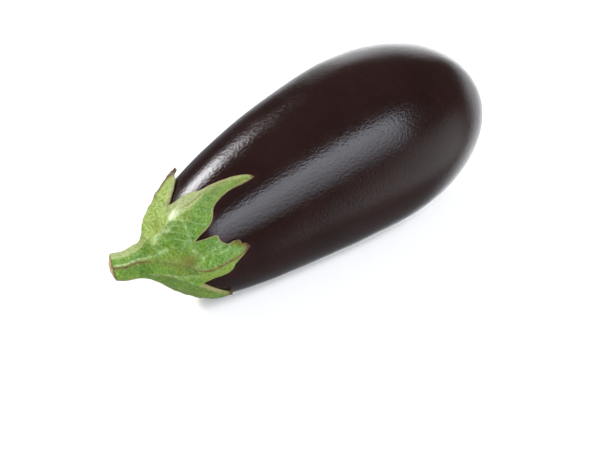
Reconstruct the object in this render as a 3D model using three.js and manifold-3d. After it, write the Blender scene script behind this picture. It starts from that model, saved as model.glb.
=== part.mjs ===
// A whole eggplant lying on its side: the fruit, the green calyx that caps it, and the cut stem.
// Millimetres, +Z up, +X from the stem to the blossom end. Each body is first shaped in a growing frame,
// where the fruit's axis is the X axis and its crown is at the origin, and is then laid down as a whole.
import * as THREE from "three";
import { mergeVertices } from "three/addons/utils/BufferGeometryUtils.js";
import Module from "manifold-3d";

const wasm = await Module();
wasm.setup();

// The fruit, along its axis from the crown to the blossom end.
const FRUIT_LENGTH = 173.5;
const FRUIT_RADIUS = 40;
const SHOULDER_X = 14;
const SHOULDER_RADIUS = 23.7;
const BELLY_X = 109.8;
const FRUIT_SEGMENTS = 48;
const PROFILE_STEPS = [6, 16, 14];

// How it lies: a slight bow, a neck that nods down and to one side, the stem end lower, and a small flat
// spot pressed under the belly.
const BOW_SIDE = 1.06;
const BOW_UP = 1.5;
const NECK_SIDE = -1.3;
const NECK_UP = -1.0;
const NECK_LENGTH = 45;
const TILT = THREE.MathUtils.degToRad(4.5);
const FLAT_SPOT_DEPTH = 0.4;

// The stem, measured by distance out from the crown.
const STEM_RADII = [[0.8, 7.0], [3.5, 7.0], [6.5, 7.0], [9, 6.9], [11, 6.7], [13.5, 6.4], [16, 6.0], [18.9, 5.65]];
const STEM_SEGMENTS = 30;
const STEM_RIDGES = 5;
const STEM_RIDGE_HEIGHT = 0.22;
const LEAN_SLOPE = 0.57;
const LEAN_START = 1.6;
const LEAN_DIRECTION = THREE.MathUtils.degToRad(17);
const LEAN_FULL = 9;

// Near the crown the stem's root is also pushed a little sideways and up, and comes back further out.
const PUSH = 2.1;
const PUSH_DIRECTION = THREE.MathUtils.degToRad(62);
const PUSH_GROWS_BY = 6;
const PUSH_FADES = [8.5, 16];

// The calyx. Its margin is given lobe by lobe as [angle in degrees, distance along the fruit's side from
// the crown]: each lobe runs from one valley over its tip, and its last valley is the next lobe's first.
// Angles turn about the axis, 0 towards +Y and 90 on top. lift is how far the tip stands off the fruit.
const LOBES = [
  { lift: 2.6, edge: [[18, 22], [24, 27], [31, 31.5], [37, 36], [41.5, 42.5], [50, 38], [61.5, 34.2], [70, 28.3]] },
  { lift: 1.6, edge: [[73, 24], [82, 27.8], [86.3, 31.6], [94, 35.5], [98.3, 40.5], [103, 46], [108.7, 52],
    [117, 56.3], [115, 49.6], [113, 43], [114.5, 37.6], [120, 34.2], [126.5, 31], [129, 26.5]] },
  { lift: 1.2, edge: [[132.5, 22], [135.6, 26.4], [138, 30.8], [147.5, 32.2], [154.5, 36.4], [160, 41],
    [166.5, 36.3], [173.5, 32.6], [178.7, 28], [183.5, 22.7]] },
  { lift: 0.6, edge: [[193.5, 19.2], [201.5, 24.6], [206, 28.4], [211, 32.8], [220, 30.2], [230, 26.4], [239, 23.6]] },
  { lift: 0.2, edge: [[248, 21.5], [258, 27], [269, 32.5], [281, 38], [290, 32], [301, 26]] },
  { lift: 2.5, edge: [[312, 21], [322, 27], [332, 34], [340, 42], [346, 50], [350, 41], [358, 33], [368, 27]] },
];
const COLLAR_DISTANCE = 9;
const COLLAR_RADIUS = 7.85;
const CALYX_START = 16;
const CALYX_THICKNESS = 2.0;
const MARGIN_THICKNESS = 1.1;
const MIDRIB_HEIGHT = 0.7;
const COLLAR_ROWS = 4;
const LOBE_ROWS = 6;
const GAP = 0.3;
const FACET_ALLOWANCE = 0.15;

const SKIN = { color: 0x241616, roughness: 0.25, metalness: 0 };
const LEAF_GREEN = { color: 0x7fae3f, roughness: 0.55, metalness: 0 };
const STEM_GREEN = { color: 0x86a64a, roughness: 0.6, metalness: 0 };

const fruitSide = new THREE.CurvePath();
fruitSide.add(sideCurve([0, 0], [0, 13.5], [7, 19.9], [SHOULDER_X, SHOULDER_RADIUS]));
fruitSide.add(sideCurve([SHOULDER_X, SHOULDER_RADIUS], [30.5, 32.0], [92, FRUIT_RADIUS], [BELLY_X, FRUIT_RADIUS]));
fruitSide.add(sideCurve([BELLY_X, FRUIT_RADIUS], [155, FRUIT_RADIUS], [FRUIT_LENGTH, 18], [FRUIT_LENGTH, 0]));
const SIDE_LENGTH = fruitSide.getLength();

/** A smooth stretch of the fruit's side, as points [distance along the axis, radius]. */
function sideCurve(...points) {
  return new THREE.CubicBezierCurve(...points.map(([x, radius]) => new THREE.Vector2(x, radius)));
}

/** The point at a distance along the fruit's side from the crown, raised off the skin by a height. */
function besideFruit(distance, height) {
  const at = distance / SIDE_LENGTH;
  const point = fruitSide.getPoint(at);
  const along = fruitSide.getTangent(at);
  return new THREE.Vector2(point.x - along.y * height, point.y + along.x * height);
}

/** A point at an angle about the axis. Outside the crown it follows the stem as the stem leans away. */
function aroundAxis(x, radius, angle) {
  const point = new THREE.Vector3(Math.max(x, 0), radius * Math.cos(angle), radius * Math.sin(angle));
  if (x >= 0) return point;
  const out = -x;
  const sideways = new THREE.Vector3(0, Math.cos(LEAN_DIRECTION), Math.sin(LEAN_DIRECTION));
  const upwards = new THREE.Vector3(0, -Math.sin(LEAN_DIRECTION), Math.cos(LEAN_DIRECTION));
  const offset = LEAN_SLOPE * out * out / (out + LEAN_START);
  const slope = LEAN_SLOPE * out * (out + 2 * LEAN_START) / (out + LEAN_START) ** 2;
  const turn = Math.atan(slope) * THREE.MathUtils.smoothstep(out, 0, LEAN_FULL);
  const push = PUSH * THREE.MathUtils.smoothstep(out, 0, PUSH_GROWS_BY)
    * (1 - THREE.MathUtils.smoothstep(out, ...PUSH_FADES));
  const across = point.dot(sideways);
  const high = point.dot(upwards) + push * Math.sin(PUSH_DIRECTION - LEAN_DIRECTION);
  return new THREE.Vector3(x + across * Math.sin(turn), 0, 0)
    .addScaledVector(sideways, offset + across * Math.cos(turn) + push * Math.cos(PUSH_DIRECTION - LEAN_DIRECTION))
    .addScaledVector(upwards, high);
}

/** Lays a point of the growing frame down: bowed, its neck nodding, and tilted with the stem end lower. */
function layDown(point) {
  const along = 2 * point.x / FRUIT_LENGTH - 1;
  const bow = Math.max(0, 1 - along * along);
  const nod = Math.exp(-((Math.max(0, point.x) / NECK_LENGTH) ** 2));
  point.y += BOW_SIDE * bow + NECK_SIDE * nod;
  point.z += BOW_UP * bow + NECK_UP * nod;
  return point.applyAxisAngle(new THREE.Vector3(0, 1, 0), -TILT);
}

/** A turned body whose points are placed one by one: place(column, row) gives each one's position. */
function turnedBody(rows, columns, isPole, place) {
  const outline = [];
  for (let row = 0; row < rows; row++) outline.push(new THREE.Vector2(isPole(row) ? 0 : 1, row));
  const body = new THREE.LatheGeometry(outline, columns);
  const position = body.attributes.position;
  for (let column = 0; column <= columns; column++) {
    for (let row = 0; row < rows; row++) {
      const point = layDown(place(column % columns, row));
      position.setXYZ(column * rows + row, point.x, point.y, point.z);
    }
  }
  return weld(body);
}

/** Merges the shared vertices, drops the faces that a pole leaves empty, and turns every face outward. */
function weld(body) {
  body.deleteAttribute("normal");
  body.deleteAttribute("uv");
  const welded = mergeVertices(body, 1e-4);
  const corners = welded.index.array;
  const faces = [];
  for (let i = 0; i < corners.length; i += 3) {
    const [a, b, c] = corners.slice(i, i + 3);
    if (a !== b && b !== c && c !== a) faces.push([a, b, c]);
  }
  const outward = volumeOf(welded, faces) > 0;
  welded.setIndex(faces.flatMap(([a, b, c]) => (outward ? [a, b, c] : [a, c, b])));
  welded.computeVertexNormals();
  return welded;
}

/** The volume that the faces enclose, negative when they face inward. */
function volumeOf(body, faces) {
  const [p, q, r] = [new THREE.Vector3(), new THREE.Vector3(), new THREE.Vector3()];
  let volume = 0;
  for (const [a, b, c] of faces) {
    p.fromBufferAttribute(body.attributes.position, a);
    q.fromBufferAttribute(body.attributes.position, b);
    r.fromBufferAttribute(body.attributes.position, c);
    volume += p.dot(q.cross(r)) / 6;
  }
  return volume;
}

/** The closed body as a solid that can be cut. */
function solid(body) {
  const vertProperties = Float32Array.from(body.attributes.position.array);
  const triVerts = Uint32Array.from(body.index.array);
  return new wasm.Manifold(new wasm.Mesh({ numProp: 3, vertProperties, triVerts }));
}

/** The body with the cutter's volume taken away. */
function cut(body, cutter) {
  const mesh = solid(body).subtract(solid(cutter)).getMesh();
  const result = new THREE.BufferGeometry();
  result.setAttribute("position", new THREE.BufferAttribute(Float32Array.from(mesh.vertProperties), 3));
  result.setIndex(new THREE.BufferAttribute(Uint32Array.from(mesh.triVerts), 1));
  result.computeVertexNormals();
  return result;
}

/** The fruit: one smooth body, flat only on the small spot it rests on. */
function makeFruit() {
  const side = [];
  fruitSide.curves.forEach((curve, k) => {
    side.push(...curve.getPoints(PROFILE_STEPS[k]).slice(k ? 1 : 0));
  });
  const last = side.length - 1;
  const whole = turnedBody(side.length, FRUIT_SEGMENTS, (row) => row === 0 || row === last, (column, row) => {
    const angle = 2 * Math.PI * (column + 0.5) / FRUIT_SEGMENTS;
    return aroundAxis(side[row].x, row === 0 || row === last ? 0 : side[row].y, angle);
  });
  whole.computeBoundingBox();
  const below = new THREE.BoxGeometry(2 * FRUIT_LENGTH, 4 * FRUIT_RADIUS, FRUIT_RADIUS);
  below.translate(0, 0, whole.boundingBox.min.z + FLAT_SPOT_DEPTH - FRUIT_RADIUS / 2);
  return cut(whole, weld(below));
}

/** The stem: a leaning, ridged stalk, cut square across its far end. */
function makeStem() {
  const rows = STEM_RADII.length + 2;
  const isPole = (row) => row === 0 || row === rows - 1;
  return turnedBody(rows, STEM_SEGMENTS, isPole, (column, row) => {
    const angle = 2 * Math.PI * column / STEM_SEGMENTS;
    const [out, radius] = STEM_RADII[THREE.MathUtils.clamp(row - 1, 0, STEM_RADII.length - 1)];
    const bare = THREE.MathUtils.smoothstep(out, COLLAR_DISTANCE, COLLAR_DISTANCE + 4);
    const ridge = STEM_RIDGE_HEIGHT * bare * Math.cos(STEM_RIDGES * angle);
    return aroundAxis(-out, isPole(row) ? 0 : radius + ridge, angle);
  });
}

/** The stem's radius inside the collar, where it is plain. */
function stemRadius(out) {
  const next = Math.max(1, STEM_RADII.findIndex(([distance]) => distance >= out));
  const [[fromOut, fromRadius], [toOut, toRadius]] = [STEM_RADII[next - 1], STEM_RADII[next]];
  return THREE.MathUtils.mapLinear(out, fromOut, toOut, fromRadius, toRadius);
}

/** The margin as one ring of points, each with its lobe's numbers and its own angle at the collar. */
function calyxMargin() {
  return LOBES.flatMap(({ lift, edge }, k) => {
    const start = edge[0][0];
    const end = k + 1 < LOBES.length ? LOBES[k + 1].edge[0][0] : LOBES[0].edge[0][0] + 360;
    const reach = Math.max(...edge.map(([, distance]) => distance));
    return edge.map(([angle, distance], i) => {
      const atCollar = start + (end - start) * i / edge.length;
      const middle = Math.sin(Math.PI * i / edge.length);
      return { angle, distance, atCollar, lift, reach, middle };
    });
  });
}

/** The calyx: a collar around the stem that opens into pointed lobes lying on the fruit's shoulder. */
function makeCalyx() {
  const margin = calyxMargin();
  const sheetRows = COLLAR_ROWS + LOBE_ROWS;
  const joint = besideFruit(CALYX_START, CALYX_THICKNESS);
  const collarOutside = sideCurve([-COLLAR_DISTANCE, COLLAR_RADIUS], [-5.6, 9.2], [-3.4, 12.5], [joint.x, joint.y]);
  const low = GAP + FACET_ALLOWANCE;
  const collarInside = [COLLAR_DISTANCE, 6, 3.2].map((out) => new THREE.Vector2(-out, stemRadius(out) + GAP));
  collarInside.push(new THREE.Vector2(-0.8, stemRadius(1.2) + 2));

  /** A point of the sheet's outer or inner side, by its row from the collar to the margin. */
  function sheetPoint({ angle, distance, atCollar, lift, reach, middle }, row, outer) {
    if (row < COLLAR_ROWS) {
      const point = outer ? collarOutside.getPoint(row / COLLAR_ROWS) : collarInside[row];
      return { x: point.x, radius: point.y, degrees: atCollar };
    }
    const done = (row - COLLAR_ROWS) / (LOBE_ROWS - 1);
    const along = THREE.MathUtils.lerp(CALYX_START, distance, done);
    const towardsTip = Math.max(0, (along - CALYX_START) / (reach - CALYX_START));
    const raised = lift * towardsTip ** 2;
    const thickness = THREE.MathUtils.lerp(CALYX_THICKNESS, MARGIN_THICKNESS, done ** 2)
      + MIDRIB_HEIGHT * middle * done * (1 - done);
    const point = besideFruit(along, raised + (outer ? thickness : low));
    return { x: point.x, radius: point.y, degrees: THREE.MathUtils.lerp(atCollar, angle, done) };
  }

  return turnedBody(2 * sheetRows + 1, margin.length, () => false, (column, row) => {
    const outer = row < sheetRows || row === 2 * sheetRows;
    const sheetRow = row === 2 * sheetRows ? 0 : (outer ? row : 2 * sheetRows - 1 - row);
    const { x, radius, degrees } = sheetPoint(margin[column], sheetRow, outer);
    return aroundAxis(x, radius, THREE.MathUtils.degToRad(degrees));
  });
}

/** A named mesh in its own material. */
function part(name, geometry, look) {
  const mesh = new THREE.Mesh(geometry, new THREE.MeshStandardMaterial(look));
  mesh.name = name;
  return mesh;
}

const eggplant = new THREE.Group();
eggplant.add(part("fruit", makeFruit(), SKIN));
eggplant.add(part("calyx", makeCalyx(), LEAF_GREEN));
eggplant.add(part("stem", makeStem(), STEM_GREEN));

// The origin goes to the middle of the footprint, on the surface that the eggplant lies on.
const extent = new THREE.Box3().setFromObject(eggplant);
const middle = extent.getCenter(new THREE.Vector3());
eggplant.position.set(-middle.x, -middle.y, -extent.min.z);

export default eggplant;
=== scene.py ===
"""A whole eggplant lying on its side: dark glossy fruit, green lobed calyx and a short cut stem.

Shapes are worked out in the growing frame, in millimetres: the fruit's axis is the X axis, its crown is at
the origin, and angles turn about the axis, 0 towards +Y and 90 on top. They are then laid down in metres.
"""

import logging
import math
from dataclasses import dataclass, field
from enum import Enum
from typing import Sequence

import bmesh
import bpy
import numpy as np
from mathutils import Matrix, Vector, noise


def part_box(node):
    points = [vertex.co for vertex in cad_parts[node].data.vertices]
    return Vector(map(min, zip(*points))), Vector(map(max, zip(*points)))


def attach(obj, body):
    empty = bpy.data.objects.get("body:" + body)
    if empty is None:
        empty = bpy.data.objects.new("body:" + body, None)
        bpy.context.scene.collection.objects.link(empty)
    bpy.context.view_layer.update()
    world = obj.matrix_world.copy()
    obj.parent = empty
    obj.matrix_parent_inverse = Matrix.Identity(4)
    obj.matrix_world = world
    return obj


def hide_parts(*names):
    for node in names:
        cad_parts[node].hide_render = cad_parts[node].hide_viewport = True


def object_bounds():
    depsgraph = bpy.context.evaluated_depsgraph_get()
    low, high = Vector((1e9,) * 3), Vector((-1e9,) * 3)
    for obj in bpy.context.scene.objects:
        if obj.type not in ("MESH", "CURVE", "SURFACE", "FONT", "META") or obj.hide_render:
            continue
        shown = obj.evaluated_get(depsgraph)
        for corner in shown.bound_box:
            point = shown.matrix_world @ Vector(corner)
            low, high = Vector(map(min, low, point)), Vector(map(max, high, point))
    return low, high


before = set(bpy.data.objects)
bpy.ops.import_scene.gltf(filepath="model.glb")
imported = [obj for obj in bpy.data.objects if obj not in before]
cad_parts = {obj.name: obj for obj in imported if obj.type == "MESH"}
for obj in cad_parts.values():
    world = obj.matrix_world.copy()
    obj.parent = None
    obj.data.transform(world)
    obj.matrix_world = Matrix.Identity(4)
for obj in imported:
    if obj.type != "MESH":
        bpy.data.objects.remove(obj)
CAD_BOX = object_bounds()
MM = 0.001
LOG = logging.getLogger("eggplant")
Socket = bpy.types.NodeSocket
Colour = tuple[float, float, float]


# ---------------------------------------------------------------------------------------------------------
# Curves and noise
# ---------------------------------------------------------------------------------------------------------

def bezier(points: Sequence[Sequence[float]], steps: int = 400) -> np.ndarray:
    """Samples one cubic curve.

    Args:
        points: its four control points.
        steps: how many spans to cut it into.

    Returns:
        One row for each sample.
    """
    t = np.linspace(0.0, 1.0, steps + 1)[:, None]
    a, b, c, d = np.asarray(points, float)
    return (1 - t) ** 3 * a + 3 * t * (1 - t) ** 2 * b + 3 * t * t * (1 - t) * c + t ** 3 * d


def smooth(value: np.ndarray, low: float, high: float) -> np.ndarray:
    """Eases from 0 at low to 1 at high."""
    t = np.clip((np.asarray(value, float) - low) / (high - low), 0.0, 1.0)
    return t * t * (3 - 2 * t)


def lumps(points: np.ndarray, size: float, seed: float) -> np.ndarray:
    """Smooth noise about zero.

    Args:
        points: places in millimetres, one row each.
        size: how far apart the lumps are.
        seed: moves the pattern.

    Returns:
        A value from about -1 to 1 for each place.
    """
    shifted = points / size + seed
    return np.array([noise.noise(Vector(p)) for p in shifted])


def nearest(points: np.ndarray, line: np.ndarray) -> np.ndarray:
    """Distance from each point to the nearest point of a line of points."""
    best = np.full(len(points), 1e9)
    for start in range(0, len(line), 64):
        part = line[start:start + 64]
        gap = np.linalg.norm(points[:, None, :] - part[None, :, :], axis=2)
        best = np.minimum(best, gap.min(axis=1))
    return best


# ---------------------------------------------------------------------------------------------------------
# The form that every piece follows
# ---------------------------------------------------------------------------------------------------------

@dataclass
class Form:
    """The fruit's side, how its stem leans, and how the whole thing lies."""

    length: float = 173.5
    radius: float = 40.0
    shoulder: tuple[float, float] = (14.0, 23.7)
    belly_x: float = 109.8
    bow: tuple[float, float] = (1.06, 1.5)
    nod: tuple[float, float] = (-1.3, -1.0)
    nod_length: float = 45.0
    tilt: float = math.radians(4.5)
    lean_slope: float = 0.57
    lean_start: float = 1.6
    lean_direction: float = math.radians(17.0)
    lean_full: float = 9.0
    rise: float = 2.1
    rise_direction: float = math.radians(62.0)
    side: np.ndarray = field(init=False)
    normal: np.ndarray = field(init=False)
    reach: np.ndarray = field(init=False)
    place: np.ndarray = field(init=False)

    def __post_init__(self) -> None:
        """Works out the side curve and where the CAD fruit lies."""
        belly = (self.belly_x, self.radius)
        crown = bezier([(0, 0), (0, 13.5), (7, 19.9), self.shoulder])
        body = bezier([self.shoulder, (30.5, 32.0), (92, self.radius), belly])
        end = bezier([belly, (155, self.radius), (self.length, 18), (self.length, 0)])
        self.side = np.vstack([crown, body[1:], end[1:]])
        step = np.gradient(self.side, axis=0)
        step /= np.linalg.norm(step, axis=1)[:, None]
        self.normal = np.stack([-step[:, 1], step[:, 0]], axis=1)
        spans = np.linalg.norm(np.diff(self.side, axis=0), axis=1)
        self.reach = np.concatenate([[0.0], np.cumsum(spans)])
        self.place = np.zeros(3)
        angle = np.linspace(0, 2 * math.pi, 145)[:-1]
        x = np.repeat(self.side[::20, 0], len(angle))
        r = np.repeat(self.side[::20, 1], len(angle))
        whole = self.lay_down(self.around(x, r, np.tile(angle, len(self.side[::20]))))
        low, high = (np.array(corner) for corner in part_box("fruit"))
        centre = (low + high) / 2 - (whole.min(axis=0) + whole.max(axis=0)) / 2
        self.place = np.array([centre[0], centre[1], high[2] - whole[:, 2].max()])

    def beside(self, distance: np.ndarray, height: np.ndarray) -> tuple[np.ndarray, np.ndarray]:
        """Points off the fruit's side.

        Args:
            distance: along the side, from the crown.
            height: off the skin.

        Returns:
            Their places along the axis, and their radii.
        """
        x = np.interp(distance, self.reach, self.side[:, 0])
        r = np.interp(distance, self.reach, self.side[:, 1])
        nx = np.interp(distance, self.reach, self.normal[:, 0])
        nr = np.interp(distance, self.reach, self.normal[:, 1])
        return x + nx * height, r + nr * height

    def around(self, x: np.ndarray, radius: np.ndarray, angle: np.ndarray) -> np.ndarray:
        """Points about the axis. Outside the crown they follow the stem as it leans away.

        Args:
            x: places along the axis.
            radius: distances from it.
            angle: turns about it, in radians.

        Returns:
            One row for each point, in the growing frame.
        """
        out = np.maximum(-x, 0.0)
        cos, sin = math.cos(self.lean_direction), math.sin(self.lean_direction)
        offset = self.lean_slope * out * out / (out + self.lean_start)
        slope = self.lean_slope * out * (out + 2 * self.lean_start) / (out + self.lean_start) ** 2
        turn = np.arctan(slope) * smooth(out, 0, self.lean_full)
        y, z = radius * np.cos(angle), radius * np.sin(angle)
        across, high = y * cos + z * sin, z * cos - y * sin
        rise = self.rise * smooth(out, 0, 6) * (1 - smooth(out, 8.5, 16))
        apart = self.rise_direction - self.lean_direction
        moved = offset + across * np.cos(turn) + rise * math.cos(apart)
        high = high + rise * math.sin(apart)
        along = x + across * np.sin(turn)
        return np.stack([along, moved * cos - high * sin, moved * sin + high * cos], axis=1)

    def axis_shift(self, x: np.ndarray) -> tuple[np.ndarray, np.ndarray]:
        """How far the bow and the nod carry the axis sideways and up at a place along it."""
        along = 2 * x / self.length - 1
        bow = np.maximum(0.0, 1 - along * along)
        nod = np.exp(-(np.maximum(0.0, x) / self.nod_length) ** 2)
        return self.bow[0] * bow + self.nod[0] * nod, self.bow[1] * bow + self.nod[1] * nod

    def lay_down(self, points: np.ndarray) -> np.ndarray:
        """Points of the growing frame, laid down in the row frame, in metres."""
        side, up = self.axis_shift(points[:, 0])
        x, y, z = points[:, 0], points[:, 1] + side, points[:, 2] + up
        cos, sin = math.cos(self.tilt), math.sin(self.tilt)
        return np.stack([x * cos - z * sin, y, x * sin + z * cos], axis=1) * MM + self.place


# ---------------------------------------------------------------------------------------------------------
# Mesh work
# ---------------------------------------------------------------------------------------------------------

def start_alone() -> None:
    """Leaves edit mode and deselects everything."""
    if bpy.context.object and bpy.context.object.mode != "OBJECT":
        bpy.ops.object.mode_set(mode="OBJECT")
    bpy.ops.object.select_all(action="DESELECT")


def only(piece: bpy.types.Object) -> None:
    """Makes one object the selected and active one."""
    start_alone()
    piece.select_set(True)
    bpy.context.view_layer.objects.active = piece


def apply_modifier(piece: bpy.types.Object, kind: str, **settings: object) -> None:
    """Adds a modifier, sets it and applies it.

    Args:
        piece: the object to finish.
        kind: Blender's name for the modifier's type.
        settings: its values.
    """
    only(piece)
    modifier = piece.modifiers.new(kind.title(), kind)
    for name, value in settings.items():
        setattr(modifier, name, value)
    bpy.ops.object.modifier_apply(modifier=modifier.name)


def rolled_sheet(name: str, points: np.ndarray, marks: dict[str, np.ndarray]) -> bpy.types.Object:
    """Rolls a flat grid into a closed skin.

    Args:
        name: the piece's name.
        points: rows by columns by 3, in metres. The first and last columns are alike.
        marks: named values for each point, kept as attributes for the finish.

    Returns:
        The piece, its seams and poles merged and its faces outward.
    """
    rows, columns = points.shape[:2]
    start_alone()
    bpy.ops.mesh.primitive_grid_add(x_subdivisions=columns - 1, y_subdivisions=rows - 1, size=1)
    piece = bpy.context.object
    piece.name = piece.data.name = name
    piece.data.vertices.foreach_set("co", points.reshape(-1).astype(np.float32))
    for key, values in marks.items():
        layer = piece.data.attributes.new(key, "FLOAT", "POINT")
        layer.data.foreach_set("value", values.reshape(-1).astype(np.float32))
    bpy.ops.object.mode_set(mode="EDIT")
    bpy.ops.mesh.select_all(action="SELECT")
    bpy.ops.mesh.remove_doubles(threshold=1e-7)
    bpy.ops.mesh.dissolve_degenerate(threshold=1e-8)
    bpy.ops.mesh.normals_make_consistent(inside=False)
    bpy.ops.object.mode_set(mode="OBJECT")
    bpy.ops.object.shade_smooth()
    return piece


def coords(piece: bpy.types.Object) -> np.ndarray:
    """The piece's vertices, one row each."""
    flat = np.empty(3 * len(piece.data.vertices), np.float32)
    piece.data.vertices.foreach_get("co", flat)
    return flat.reshape(-1, 3).astype(float)


def dress(piece: bpy.types.Object, material: bpy.types.Material, slot: str, *nodes: str) -> None:
    """Gives a piece its finish, hangs it from the root body and hides the CAD nodes that it replaces.

    Args:
        piece: the finished piece.
        material: its finish.
        slot: not used.
        nodes: the CAD nodes that it replaces.
    """
    piece.data.materials.clear()
    piece.data.materials.append(material)
    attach(piece, "root")
    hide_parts(*nodes)


# ---------------------------------------------------------------------------------------------------------
# Finishes
# ---------------------------------------------------------------------------------------------------------

class Blend(Enum):
    """How two colours are combined."""

    MIX = "MIX"
    ADD = "ADD"
    MULTIPLY = "MULTIPLY"


@dataclass(frozen=True)
class Cloud:
    """Cloudy patches.

    Attributes:
        scale: of the noise, per metre.
        detail: how many finer layers it has.
        rough: how strong those are.
        span: the noise values between which a patch fades in.
        to: its value before and after that.
    """

    scale: float
    detail: float
    rough: float
    span: tuple[float, float]
    to: tuple[float, float] = (0.0, 1.0)


class Bench:
    """A node tree with short ways to add and join its nodes."""

    def __init__(self, tree: bpy.types.NodeTree) -> None:
        """Takes over an empty tree."""
        self.tree = tree
        tree.nodes.clear()

    def node(self, kind: str, inputs: dict | None = None, **settings: object) -> bpy.types.Node:
        """Adds a node.

        Args:
            kind: its type, without the leading ShaderNode.
            inputs: what goes into its sockets, by name or number: a socket or a value.
            settings: its own properties.

        Returns:
            The node.
        """
        made = self.tree.nodes.new("ShaderNode" + kind)
        for name, value in settings.items():
            setattr(made, name, value)
        for name, value in (inputs or {}).items():
            socket = made.inputs[name]
            if isinstance(value, bpy.types.NodeSocket):
                self.tree.links.new(value, socket)
            elif isinstance(value, tuple) and len(value) == 3 and socket.type == "RGBA":
                socket.default_value = (*value, 1.0)
            else:
                socket.default_value = value
        return made

    def math(self, operation: str, a: Socket | float, b: Socket | float = 0.0,
             clamp: bool = False) -> Socket:
        """One sum of two values, and its result."""
        return self.node("Math", {0: a, 1: b}, operation=operation, use_clamp=clamp).outputs[0]

    def ramp(self, value: Socket, low: float, high: float, to: tuple[float, float] = (0.0, 1.0)) -> Socket:
        """Eases a value from one range to another.

        Args:
            value: what is read.
            low: where the easing starts.
            high: where it ends.
            to: the results at those two places.

        Returns:
            The eased value.
        """
        inputs = {"Value": value, "From Min": low, "From Max": high, "To Min": to[0], "To Max": to[1]}
        return self.node("MapRange", inputs, interpolation_type="SMOOTHSTEP").outputs["Result"]

    def mix(self, amount: Socket | float, a: Socket | Colour, b: Socket | Colour,
            blend: Blend = Blend.MIX) -> Socket:
        """Combines two colours, and gives the result."""
        made = self.node("Mix", data_type="RGBA", blend_type=blend.value)
        for socket, value in ((made.inputs[0], amount), (made.inputs[6], a), (made.inputs[7], b)):
            if isinstance(value, bpy.types.NodeSocket):
                self.tree.links.new(value, socket)
            else:
                socket.default_value = (*value, 1.0) if isinstance(value, tuple) else value
        return made.outputs[2]

    def noise(self, where: Socket, scale: float, detail: float = 2.0, rough: float = 0.5) -> Socket:
        """Cloudy noise from 0 to 1 at a scale, per metre."""
        inputs = {"Vector": where, "Scale": scale, "Detail": detail, "Roughness": rough}
        return self.node("TexNoise", inputs).outputs["Fac"]

    def cloud(self, where: Socket, cloud: Cloud) -> Socket:
        """The amount of some cloudy patches."""
        return self.ramp(self.noise(where, cloud.scale, cloud.detail, cloud.rough), *cloud.span, cloud.to)

    def layer(self, where: Socket, under: Socket, cloud: Cloud, tint: Colour, mark: str = "") -> Socket:
        """Lays a tint over a colour.

        Args:
            where: object coordinates.
            under: the colour so far.
            cloud: the patches that it lies in.
            tint: its colour.
            mark: an attribute that says how much of it there is, if any does.

        Returns:
            The new colour.
        """
        amount = self.cloud(where, cloud)
        if mark:
            amount = self.math("MULTIPLY", self.mark(mark), amount)
        return self.mix(amount, under, tint)

    def mark(self, name: str) -> Socket:
        """The value of one of the piece's own attributes."""
        return self.node("Attribute", attribute_name=name).outputs["Fac"]

    def place(self, stretch: tuple[float, float, float] = (1, 1, 1)) -> Socket:
        """Object coordinates, stretched."""
        where = self.node("TexCoord").outputs["Object"]
        return self.node("Mapping", {"Vector": where, "Scale": stretch}).outputs["Vector"]

    def bump(self, height: Socket, distance: float, strength: Socket | float = 1.0,
             under: Socket | None = None) -> Socket:
        """Turns a height into a bumped normal.

        Args:
            height: from 0 to 1.
            distance: how high 1 is, in metres.
            strength: how much of it shows.
            under: a normal that it is added to.

        Returns:
            The normal.
        """
        inputs = {"Height": height, "Distance": distance, "Strength": strength}
        if under is not None:
            inputs["Normal"] = under
        return self.node("Bump", inputs).outputs["Normal"]


def new_material(name: str) -> tuple[bpy.types.Material, Bench]:
    """An empty node material and its bench."""
    material = bpy.data.materials.new(name)
    material.use_nodes = True
    return material, Bench(material.node_tree)


@dataclass(frozen=True)
class SkinFinish:
    """Dark, tight, glossy skin with a fine grain, paler purple where the calyx shaded it."""

    dark: Colour = (0.0098, 0.0044, 0.0036)
    warm: Colour = (0.0128, 0.0058, 0.0047)
    shaded: Colour = (0.019, 0.0068, 0.0072)
    scar: Colour = (0.16, 0.085, 0.040)
    speck: Colour = (0.10, 0.075, 0.065)
    wave_height: float = 0.00003
    grain_height: float = 0.000125
    fine_height: float = 0.000032
    roughness: tuple[float, float] = (0.10, 0.20)

    def build(self) -> bpy.types.Material:
        """Makes the material."""
        material, bench = new_material("eggplant_skin")
        where = bench.place()
        along = bench.place((0.95, 1.0, 1.0))
        colour = bench.mix(bench.cloud(where, Cloud(28, 3, 0.5, (0.35, 0.65))), self.dark, self.warm)
        near = bench.ramp(bench.mark("from_calyx"), 0.0, 4.5, (0.85, 0.0))
        uneven = bench.cloud(where, Cloud(300, 2, 0.5, (0.3, 0.7), (0.35, 1.0)))
        colour = bench.mix(bench.math("MULTIPLY", near, uneven), colour, self.shaded)
        colour = bench.layer(where, colour, Cloud(1500, 1, 0.5, (0.74, 0.80), (0.0, 0.25)), self.speck)
        scar = bench.mark("scar")
        colour = bench.mix(scar, colour, self.scar)
        normal = bench.bump(bench.noise(along, 120, 2), self.wave_height)
        normal = bench.bump(bench.noise(along, 860, 2, 0.55), self.grain_height, 1.0, normal)
        normal = bench.bump(bench.noise(along, 2600, 1, 0.5), self.fine_height, 1.0, normal)
        patchy = bench.cloud(along, Cloud(90, 4, 0.6, (0.3, 0.7), self.roughness))
        rough = bench.math("ADD", patchy, bench.math("MULTIPLY", scar, 0.45), clamp=True)
        inputs = {"Base Color": colour, "Roughness": rough, "Normal": normal, "IOR": 1.27}
        shader = bench.node("BsdfPrincipled", inputs)
        bench.node("OutputMaterial", {"Surface": shader.outputs[0]})
        return material


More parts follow.
